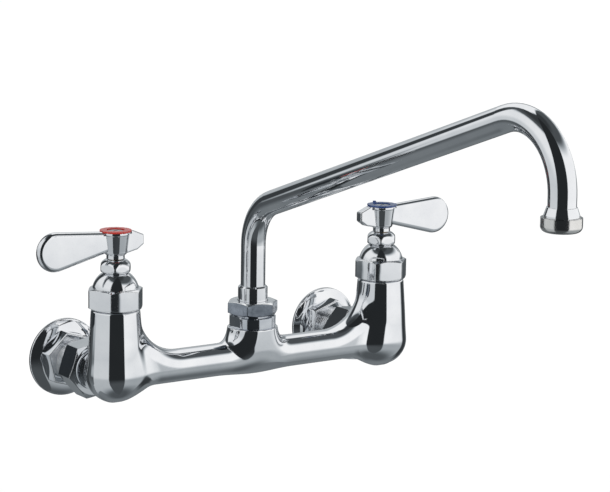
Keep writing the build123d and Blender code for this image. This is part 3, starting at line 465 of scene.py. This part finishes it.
# ---------------------------------------------------------------- cast body
# Sizes of the casting, in millimetres, about the valve plane; +Y still points to the wall
VALVE_X = 101.6
VALVE_Y = -68.0
BARREL_R = 18.1
BARREL_FLAT_R = 3.1         # flat under the barrel
BARREL_FLOOR_Z = -13.6
BARREL_TAPER = 2.7 / 38.8   # what its radius loses with each millimetre up
BARREL_WIDE_Z = 4.0
SHOULDER_Z = 44.0
BAR_R = 10.5
BAR_Z = 2.6
FLARE_R = 40.5              # centreline of the crossbar's climb up the barrel
FLARE_END_X = 97.1
BOSS_R = 13.8
BOSS_SWELL = 1.3            # how much the crossbar thickens under the boss
BOSS_SWELL_X = 30.0
BOSS_TOP_Z = 22.0
BOSS_FLARE_R = 21.5         # centreline of the crossbar's climb up the boss
BOSS_FLARE_END_X = 3.0
ARM_R = 13.6
ARM_END_Y = 23.5
# Widths over which the cast forms melt together
FOOT_BLEND = 11.0           # crossbar into barrel, low down
HEAD_BLEND = 1.6            # crossbar into barrel, under the cap nut
HEAD_BLEND_Z = BAR_Z + (SHOULDER_Z - BAR_Z) / 1.6       # where it has narrowed to that
BOSS_BLEND = 10.0
ARM_BLEND = 7.0
# Widths over which its edges are rounded
BULB_EDGE = 1.5
BOSS_FOOT_EDGE = 8.0
SHOULDER_EDGE = 2.0
BOSS_TOP_EDGE = 0.5
ARM_END_EDGE = 1.6
# Grid of the skin
SKIN_STEP = 0.8
SKIN_ROOM = 22              # round the barrels' axes
SKIN_FLOOR_Z = -17
SKIN_MARGIN = 4             # past the arms and the shoulders


def climb(x, z, end_x, radius):
    """How far a point of the valve plane is from the sheet under a quarter bend.

    The bend leaves the crossbar's centreline and ends upright at end_x.
    """
    centre_x, centre_z = end_x - radius, BAR_Z + radius
    bend = np.maximum(radius - np.hypot(x - centre_x, z - centre_z), 0)
    upright = np.maximum(end_x - x, 0)
    above = np.where(z < centre_z, bend, upright)
    return np.where(z < BAR_Z, BAR_Z - z, np.where(x > centre_x, above, z - BAR_Z))


def crossbar(x, y, z):
    """Signed distance to the bar that climbs the boss and the barrel in quarter bends."""
    outer = climb(x, z, FLARE_END_X, FLARE_R)
    inner = climb(-x, z, -BOSS_FLARE_END_X, BOSS_FLARE_R)
    past = np.maximum(x - VALVE_X, 0)
    swell = BOSS_SWELL * np.cos(np.clip(x / BOSS_SWELL_X, 0, 1) * np.pi / 2) ** 2
    from_sheet = np.where(x > VALVE_X / 2, outer, inner)
    return np.hypot(np.hypot(from_sheet, y), past) - BAR_R - swell


def valve_barrel(x, y, z):
    """Signed distance to a tapered barrel with its rounded foot and its inlet arm."""
    from_axis = np.hypot(x - VALVE_X, y)
    bulb_r = BARREL_R - BARREL_FLAT_R
    drop = np.maximum(BARREL_WIDE_Z - z, 0) * bulb_r / (BARREL_WIDE_Z - BARREL_FLOOR_Z)
    bulb = np.hypot(np.maximum(from_axis - BARREL_FLAT_R, 0), drop) - bulb_r
    cone = from_axis - BARREL_R + (z - BARREL_WIDE_Z) * BARREL_TAPER
    arm = np.maximum(np.hypot(x - VALVE_X, z) - ARM_R, -y)
    return melt(cut_at(bulb, cone, BULB_EDGE), arm, ARM_BLEND)


def casting(x, y, z):
    """Signed distance, in millimetres, to the outside of the cast body."""
    x = np.abs(x)
    bar = crossbar(x, y, z)
    up = np.clip((z - BAR_Z) / (HEAD_BLEND_Z - BAR_Z), 0, 1)
    end = melt(bar, valve_barrel(x, y, z), FOOT_BLEND + (HEAD_BLEND - FOOT_BLEND) * up)
    boss = cut_at(np.hypot(x, y) - BOSS_R, BAR_Z - z, BOSS_FOOT_EDGE)
    middle = melt(bar, boss, BOSS_BLEND)
    body = np.where(x > VALVE_X / 2,
                    cut_at(end, z - SHOULDER_Z, SHOULDER_EDGE),
                    cut_at(middle, z - BOSS_TOP_Z, BOSS_TOP_EDGE))
    return cut_at(body, y - ARM_END_Y, ARM_END_EDGE)


def cast_body():
    """The casting's outside with its soft blends, in place of the plain node."""
    low = (-VALVE_X - SKIN_ROOM, -SKIN_ROOM, SKIN_FLOOR_Z)
    high = (VALVE_X + SKIN_ROOM, ARM_END_Y + SKIN_MARGIN, SHOULDER_Z + SKIN_MARGIN)
    mesh = skin_mesh("cast_skin", casting, low, high, SKIN_STEP, (0, VALVE_Y, 0))
    add_piece("cast_skin", mesh, "cast_chrome", "valve_body", "faucet_body")


# ---------------------------------------------------------------- packing nuts
PACKING_NUT_AF = 18.4
PACKING_NUT_TURN = {"hot": -3.4, "cold": -8.1}      # degrees, from a corner towards +X
PACKING_NUT_BORE_R = 4.9
PACKING_NUT_R = 10.3            # where it is widest
PACKING_NUT_WIDE_Z = 2.0        # and how far above its foot that is
PACKING_NUT_CROWN = 7.4         # how high it would crown above there
PACKING_NUT_BELLY = 5.0         # and how deep it would round below
PACKING_NUT_ROOM = 12           # of the skin's grid, round its axis
PACKING_NUT_MARGIN = 1          # above and below
PACKING_NUT_STEP = 0.3
# Widths over which its edges are rounded
PACKING_FLAT_EDGE = 0.5
PACKING_END_EDGE = 0.6
PACKING_BORE_EDGE = 0.4


def packing_nut(side):
    """Small crowned nut: only low lenses are left of its six flats."""
    node = side + "_packing_nut"
    low, high = box_mm(node)
    middle = (low + high) / 2
    height = high[2] - low[2]

    def nut(x, y, z):
        """Signed distance, in millimetres; z is 0 at the nut's foot."""
        hexagon = np.maximum.reduce(six_flats(x, y, PACKING_NUT_TURN[side] + CORNER_TO_FLAT))
        from_wide = z - PACKING_NUT_WIDE_Z
        rise = np.where(from_wide > 0, from_wide / PACKING_NUT_CROWN, -from_wide / PACKING_NUT_BELLY)
        r = np.hypot(x, y)
        crowned = (np.hypot(r / PACKING_NUT_R, rise) - 1) * PACKING_NUT_CROWN
        body = cut_at(hexagon - PACKING_NUT_AF / 2, crowned, PACKING_FLAT_EDGE)
        body = cut_at(body, np.abs(z - height / 2) - height / 2, PACKING_END_EDGE)
        return cut_at(body, PACKING_NUT_BORE_R - r, PACKING_BORE_EDGE)

    room, margin = PACKING_NUT_ROOM, PACKING_NUT_MARGIN
    mesh = skin_mesh(side + "_nut_skin", nut, (-room, -room, -margin), (room, room, height + margin),
                     PACKING_NUT_STEP, (middle[0], middle[1], low[2]))
    add_piece(side + "_nut_skin", mesh, "fitting_chrome", "valve_body", node)


# ---------------------------------------------------------------- index rings
RING_LIFT = 1.9             # mm, foot of the ring above the hub of the plain model
RING_THINNING = 0.5
RING_FOOT = 0.5             # its lowest points are up to here, and don't count for its top
PIP_RISE = 0.1              # what stands higher than this over its top is its raised mark
# Rim of the hub that carries it
HUB_RIM_R = 8.9
HUB_RIM_WALL = 2.5
HUB_RIM_SINK = 0.2          # how deep its foot is in the plain hub
HUB_RIM_FLARE = 0.1         # how much narrower than HUB_RIM_R it starts, and how much wider it gets
HUB_RIM_EDGE = 0.3          # height of the bevels at its foot and top
HUB_RIM_CORNER = 0.2        # how much narrower than HUB_RIM_R it ends


def index_ring(side, slot):
    """Thin coloured ring on the rim of the handle's hub."""
    node = side + "_index_ring"
    mesh, points = mesh_copy(node, side + "_thin_ring")
    heights = points[:, 2]
    foot = heights.min()
    top = np.median(heights[heights > foot + RING_FOOT])
    rise = np.where(heights > top + PIP_RISE,
                    heights - top + (top - foot) * RING_THINNING,
                    (heights - foot) * RING_THINNING)
    points[:, 2] = foot + RING_LIFT + rise
    mesh.vertices.foreach_set("co", (points * MM).ravel())
    add_piece(side + "_thin_ring", mesh, slot, side + "_lever", node)
    hub_rim(side, foot)


def hub_rim(side, hub_top):
    """Rim that lifts the index ring off the plain hub."""
    low, high = box_mm(side + "_handle_screw")
    middle = (low + high) / 2
    top = hub_top + RING_LIFT
    profile = [(HUB_RIM_R - HUB_RIM_WALL, hub_top - HUB_RIM_SINK),
               (HUB_RIM_R - HUB_RIM_FLARE, hub_top - HUB_RIM_SINK),
               (HUB_RIM_R, hub_top + HUB_RIM_EDGE),
               (HUB_RIM_R + HUB_RIM_FLARE, top - HUB_RIM_EDGE),
               (HUB_RIM_R - HUB_RIM_CORNER, top),
               (HUB_RIM_R - HUB_RIM_WALL, top)]
    rim = lathe(side + "_hub_rim", profile, (middle[0], middle[1], 0))
    add_piece(side + "_hub_rim", rim, "handle_chrome", side + "_lever")


# ---------------------------------------------------------------- wall fittings
# How far the fittings are turned from the plain model, in degrees, clockwise seen from the front
COUPLING_TURN = {"hot": -23.1, "cold": 22.6}
FLANGE_TURN = {"hot": -26.3, "cold": 25.5}
# Thread between the flange and the nut, in millimetres
THREAD_R = 13.2
THREAD_DEPTH = 1.1
THREAD_PITCH = 1.814
THREAD_STEEPNESS = 3.4      # of its sides
THREAD_ROWS = 14            # of points in one pitch
THREAD_AROUND = 96
# Front of the wall flange, in millimetres from its axis and from the wall
FLANGE_R = 25.4
FLANGE_RIM = 1.5            # how far its rim stands off the wall
FLANGE_RISE = 4.5           # and its front at the hex
FLANGE_CROWN = 0.6          # how far its front bulges between them
FLANGE_CROWN_FROM_R = 16.5
FLANGE_INWARD = 0.2         # share of its width that it runs on inwards, under the hex
FLANGE_EDGE_R = 0.7
FLANGE_EDGE_TURN = radians(70)
FLANGE_BACK_EDGE = 0.1
FLANGE_POINTS = 30          # across the front
FLANGE_EDGE_POINTS = 9
FLANGE_AROUND = 128
# Hex boss behind the thread
HEX_AF = 33.0
HEX_FRONT = 13.8
HEX_CORNER = {"hot": 16.2, "cold": 41.2}    # degrees, a corner above the horizontal towards -X
HEX_FOOT = 0.6              # how deep it starts inside the flange's front
HEX_CORNER_EDGE = 0.5       # widths over which its edges are rounded
HEX_FRONT_EDGE = 0.9
HEX_FOOT_EDGE = 0.4
HEX_ROOM = 20               # of the skin's grid, round its axis
HEX_MARGIN = (2, 3)         # before its front and behind its foot
HEX_STEP = 0.4
# How near to those the faces of the plain fitting are that give way to them
THREAD_NEAR = 0.03
HEX_NEAR = 0.1
FLANGE_RIM_BAND = 1.2       # how wide the rim is
BACK_BAND = 0.02            # next to the wall, where it stays
FRONT_FACING = -0.8         # Y of a normal, below which a face looks away from the wall


def turned_copy(node, name, degrees):
    """A copy of a wall fitting, turned about its own axis, and where that meets the wall."""
    mesh, _ = mesh_copy(node, name)
    low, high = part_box(node)
    axis = Vector(((low[0] + high[0]) / 2, 0, (low[2] + high[2]) / 2))
    turn = Matrix.Rotation(radians(degrees), 4, "Y")
    mesh.transform(Matrix.Translation(axis) @ turn @ Matrix.Translation(-axis))
    return mesh, axis


def coupling_nut(side):
    """The union nut where it stopped when it was tightened."""
    node = side + "_coupling_nut"
    mesh, _ = turned_copy(node, side + "_turned_nut", COUPLING_TURN[side])
    add_piece(side + "_turned_nut", mesh, "fitting_chrome", "valve_body", node, own=edged_finish)


def open_flange(mesh, axis):
    """Takes the front, rim, hex and thread off the fitting, and gives the thread's two ends."""
    cut = bmesh.new()
    cut.from_mesh(mesh)
    thread_ends = []
    gone = []
    for face in cut.faces:
        radii = [((vertex.co - axis) / MM).xz.length for vertex in face.verts]
        centre = (face.calc_center_median() - axis) / MM
        out = centre.xz.length
        on_thread = all(abs(r - THREAD_R) < THREAD_NEAR for r in radii)
        on_hex = -HEX_FRONT - HEX_NEAR < centre.y < -FLANGE_RISE and out > THREAD_R + HEX_NEAR
        on_front = (face.normal.y < FRONT_FACING and out > THREAD_R
                    and centre.y > -FLANGE_RISE - FLANGE_CROWN)
        on_rim = min(radii) > FLANGE_R - FLANGE_RIM_BAND and centre.y < -BACK_BAND
        if on_thread:
            thread_ends += [vertex.co.y / MM for vertex in face.verts]
        if on_thread or on_hex or on_front or on_rim:
            gone.append(face)
    bmesh.ops.delete(cut, geom=gone, context="FACES")
    cut.to_mesh(mesh)
    cut.free()
    return min(thread_ends), max(thread_ends)


def dished_front():
    """Front of the wall flange and its rounded rim, as (radius, distance from the wall)."""
    across, fall = FLANGE_R - FLANGE_CROWN_FROM_R, FLANGE_RISE - FLANGE_RIM
    along = np.linspace(1 - FLANGE_EDGE_R / across, -FLANGE_INWARD, FLANGE_POINTS)
    bulge = 4 * FLANGE_CROWN * along * (1 - along)
    crown = np.stack([FLANGE_CROWN_FROM_R + across * along,
                      FLANGE_RISE - fall * along + bulge], axis=1)
    turn = np.linspace(0, FLANGE_EDGE_TURN, FLANGE_EDGE_POINTS)
    high = crown[0, 1] - FLANGE_EDGE_R * sin(FLANGE_EDGE_TURN)
    edge = np.stack([FLANGE_R - FLANGE_EDGE_R * (1 - np.cos(turn)),
                     high + FLANGE_EDGE_R * np.sin(turn)], axis=1)
    back = [(FLANGE_R - FLANGE_BACK_EDGE, 0), (FLANGE_R, FLANGE_BACK_EDGE)]
    return np.vstack([back, edge, crown[1:]])


def flange_front(side, axis):
    """The dished front, as a piece of its own."""
    front = lathe(side + "_flange_front", dished_front(), around=FLANGE_AROUND)
    front.transform(Matrix.Translation(axis) @ Matrix.Rotation(radians(90), 4, "X"))
    add_piece(side + "_flange_front", front, "fitting_chrome", "valve_body")


def flange_hex(side, axis):
    """Crisp hex boss between the flange and the thread."""
    def boss(x, y, z):
        """Signed distance, in millimetres; y is 0 at the wall."""
        hexagon, *others = six_flats(x, z, 180 - CORNER_TO_FLAT - HEX_CORNER[side])
        for flat in others:
            hexagon = cut_at(hexagon, flat, HEX_CORNER_EDGE)
        body = cut_at(hexagon - HEX_AF / 2, -HEX_FRONT - y, HEX_FRONT_EDGE)
        body = cut_at(body, y + FLANGE_RISE - HEX_FOOT, HEX_FOOT_EDGE)
        return np.maximum(body, THREAD_R - THREAD_DEPTH - np.hypot(x, z))

    low = (-HEX_ROOM, -HEX_FRONT - HEX_MARGIN[0], -HEX_ROOM)
    high = (HEX_ROOM, -FLANGE_RISE + HEX_MARGIN[1], HEX_ROOM)
    mesh = skin_mesh(side + "_flange_hex", boss, low, high, HEX_STEP, np.array(axis) / MM)
    add_piece(side + "_flange_hex", mesh, "fitting_chrome", "valve_body")


def flange_thread(side, axis, start, end):
    """The thread from one Y to another, in millimetres; it runs out at the first."""
    steps = int((end - start) / THREAD_PITCH * THREAD_ROWS)
    angle, along = np.meshgrid(np.linspace(0, 2 * np.pi, THREAD_AROUND, endpoint=False),
                               np.linspace(start, end, steps + 1))
    turn = (along / THREAD_PITCH - angle / (2 * np.pi)) % 1
    ridge = smooth(THREAD_STEEPNESS * (0.5 - np.abs(turn - 0.5)))
    fade = smooth((along - start) / THREAD_PITCH)
    r = THREAD_R - THREAD_DEPTH * (1 - ridge * fade)
    round_axis = np.stack([r * np.cos(angle), along, r * np.sin(angle)], axis=-1)
    points = round_axis + np.array(axis) / MM
    inside_out = ring_quads(steps + 1, THREAD_AROUND)
    mesh = smooth_mesh(side + "_thread", points.reshape(-1, 3), inside_out[:, [0, 3, 2, 1]])
    add_piece(side + "_thread", mesh, "fitting_chrome", "valve_body")


def wall_flange(side):
    """Wall fitting with a rounded rim, and with its real thread in place of the plain cylinder."""
    node = side + "_wall_flange"
    mesh, axis = turned_copy(node, side + "_turned_flange", FLANGE_TURN[side])
    start, end = open_flange(mesh, axis)
    add_piece(side + "_turned_flange", mesh, "fitting_chrome", "valve_body", node, own=edged_finish)
    flange_front(side, axis)
    flange_hex(side, axis)
    flange_thread(side, axis, start, end)


# ---------------------------------------------------------------- studio
# Sizes and places in metres
TENT_R = 0.85
TENT_CENTRE = (0, -0.17, 0.09)
TENT_AROUND = 480
TENT_ROWS = 181
TENT_TINT = ((0.82, 0.93, 1.0), (1.0, 1.0, 1.0))    # where it is dark and where it is pale
# Panels of the tent, each over the ones before: heading from and to, height from and to, how far
# the top falls on the way, softness of the sides, foot and top (all in degrees), and how bright
# it is. Heading 0 is towards -Y, and 90 towards +X.
PANELS = (
    (-180, 180, -90, -24, 0, 1, 1, 24, 0.21),       # grey floor cloth
    (-180, 180, -90, -64, 0, 1, 1, 24, 0.10),
    (-180, 180, 66, 90, 0, 1, 14, 1, 0.045),        # dark ceiling
    (-128, -64, -56, 50, 0, 4, 24, 14, 0.52),       # window on the left, wider towards the top
    (-128, -64, -16, 50, 0, 4, 12, 14, 0.68),
    (-141, -64, -11, 50, 0, 4, 8, 14, 0.68),
    (-155, -64, 0, 50, 0, 4, 8, 14, 0.68),
    (-155, -64, 12, 50, 0, 6, 20, 14, 0.88),
    (-65, 2, -90, -10, 0, 2.5, 1, 10, 0.085),       # dark side, behind the camera
    (-65, 2, -26, 90, 0, 2.5, 22, 1, 0.024),
    (2, 88, -52, 10, 0, 3, 30, 14, 0.43),           # window on the right
    (2, 118, -17, 47, 24, 3, 18, 20, 0.99),
    (88, 119, -46, 2, 0, 12, 14, 12, 0.045),        # dark gap beside it
    (119, 180, -8, 40, 0, 6, 10, 10, 0.27),         # pale backdrop, above the wall's foot
    (138, 184, 0, 40, 0, 10, 8, 10, 0.50),
    (119, 180, 27, 80, 0, 6, 14, 10, 0.95),
    (184, 206, -30, 42, 0, 6, 12, 10, 0.05),        # dark corner
)
TENT_GREY = 0.09            # between the panels
# Small dark card behind the hot side
CARD_X = (-0.27, -0.18)
CARD_Y = 0.1
CARD_Z = (0.005, 0.07)
CARD_SHADES = ((0.018, 0.022, 0.026), (0.03, 0.034, 0.038))
FLOOR_Z = -0.16
FLOOR_HALF = 14.0           # half its width
FLOOR_SHADES = ((0.80, 0.80, 0.80), (0.82, 0.82, 0.82))
FLOOR_GLOW = 0.26           # lifts it to the white of the background, where it is seen
SKY_LIGHT = 0.95            # how bright the white surroundings are as a light
WHITE = (1, 1, 1, 1)


def prop(name, points, faces, material):
    """A piece of the studio, which isn't part of the object."""
    mesh = bpy.data.meshes.new(name)
    mesh.from_pydata(points, [], faces)
    mesh.materials.append(material)
    made = bpy.data.objects.new(name, mesh)
    scene.collection.objects.link(made)
    return made


def only_in_reflections(made):
    """Hides a piece of the studio from all but the reflections."""
    made.visible_camera = False
    made.visible_diffuse = False
    made.visible_shadow = False


def seen(s):
    """1 for rays that show the background: the camera's, and those off metal and through glass."""
    path = s.node("ShaderNodeLightPath").outputs
    bent = s.math("MAXIMUM", path["Is Glossy Ray"], path["Is Transmission Ray"])
    return s.math("MAXIMUM", path["Is Camera Ray"], bent)


def world():
    """White surroundings."""
    made = bpy.data.worlds.new("studio")
    scene.world = made
    s = Shader(made)
    strength = s.remap(seen(s), 0, 1, SKY_LIGHT, 1.0)
    s.output(s.node("ShaderNodeBackground", Color=WHITE, Strength=strength), "ShaderNodeOutputWorld")


def tent_grey(heading, height):
    """How bright the tent is in some directions: 0 black, 1 white."""
    grey = np.full_like(heading, TENT_GREY)
    for start, end, foot, head, fall, soft_side, soft_foot, soft_top, level in PANELS:
        across = (heading - start) % 360
        width = end - start
        # Degrees inward from the nearer side, and less than 0 outside
        inside = np.where(across < 180 + width / 2, np.minimum(across, width - across), across - 360)
        sides = smooth(inside / soft_side + 0.5) if width < 360 else 1.0
        top = head - fall * across / width
        up = smooth((height - foot) / soft_foot + 0.5) * smooth((top - height) / soft_top + 0.5)
        grey += (level - grey) * up * sides
    return grey


def tent_cloth():
    """Glowing cloth, as bright as the mesh says, and a little cooler where it is dark."""
    material = bpy.data.materials.new("tent_cloth")
    s = Shader(material)
    grey = s.node("ShaderNodeAttribute", attribute_name="grey").outputs["Fac"]
    s.output(s.node("ShaderNodeEmission", Color=s.blend(grey, *TENT_TINT), Strength=grey))
    return material


def tent():
    """Ball of pale and dark cloth round the object, seen only in reflections."""
    height, heading = np.meshgrid(np.linspace(-90, 90, TENT_ROWS),
                                  np.linspace(-180, 180, TENT_AROUND, endpoint=False), indexing="ij")
    h, a = np.radians(height), np.radians(heading)
    out = np.stack([np.sin(a) * np.cos(h), -np.cos(a) * np.cos(h), np.sin(h)], axis=-1)
    ball = prop("tent", TENT_CENTRE + TENT_R * out.reshape(-1, 3),
                ring_quads(TENT_ROWS, TENT_AROUND), tent_cloth())
    shade = ball.data.attributes.new("grey", "FLOAT", "POINT")
    shade.data.foreach_set("value", tent_grey(heading, height).ravel())
    only_in_reflections(ball)


def card_cloth():
    """Nearly black cloth with a weave."""
    material = bpy.data.materials.new("card_cloth")
    s = Shader(material)
    weave = s.noise(scale=400, detail=2, roughness=0.6)
    s.output(s.node("ShaderNodeEmission", Color=s.blend(weave, *CARD_SHADES)))
    return material


def dark_card():
    """Small dark card behind the hot side, seen only in the reflections there."""
    corners = [(CARD_X[0], CARD_Y, CARD_Z[0]), (CARD_X[1], CARD_Y, CARD_Z[0]),
               (CARD_X[1], CARD_Y, CARD_Z[1]), (CARD_X[0], CARD_Y, CARD_Z[1])]
    only_in_reflections(prop("dark_card", corners, [(0, 1, 2, 3)], card_cloth()))


def floor_paper():
    """Pale paper that takes shadows, and looks as white as the background elsewhere."""
    material = bpy.data.materials.new("floor_paper")
    s = Shader(material)
    grain = s.noise(scale=6, detail=3, roughness=0.5)
    paper = s.node("ShaderNodeBsdfDiffuse", Color=s.blend(grain, *FLOOR_SHADES))
    glow = s.node("ShaderNodeEmission", Color=WHITE, Strength=s.math("MULTIPLY", seen(s), FLOOR_GLOW))
    both = s.node("ShaderNodeAddShader")
    s.feed(both.inputs[0], paper.outputs[0])
    s.feed(both.inputs[1], glow.outputs[0])
    s.output(both)
    return material


def floor():
    """Pale floor that keeps the object's shadow."""
    half = FLOOR_HALF
    corners = [(x, y, FLOOR_Z) for x, y in ((-half, -half), (half, -half), (half, half), (-half, half))]
    sheet = prop("floor", corners, [(0, 1, 2, 3)], floor_paper())
    sheet.visible_glossy = False


# ---------------------------------------------------------------- making
photo_camera()
world()
tent()
dark_card()
floor()
dress_nodes()
cast_body()
for side, slot in (("hot", "red_index"), ("cold", "blue_index")):
    packing_nut(side)
    index_ring(side, slot)
    coupling_nut(side)
    wall_flange(side)
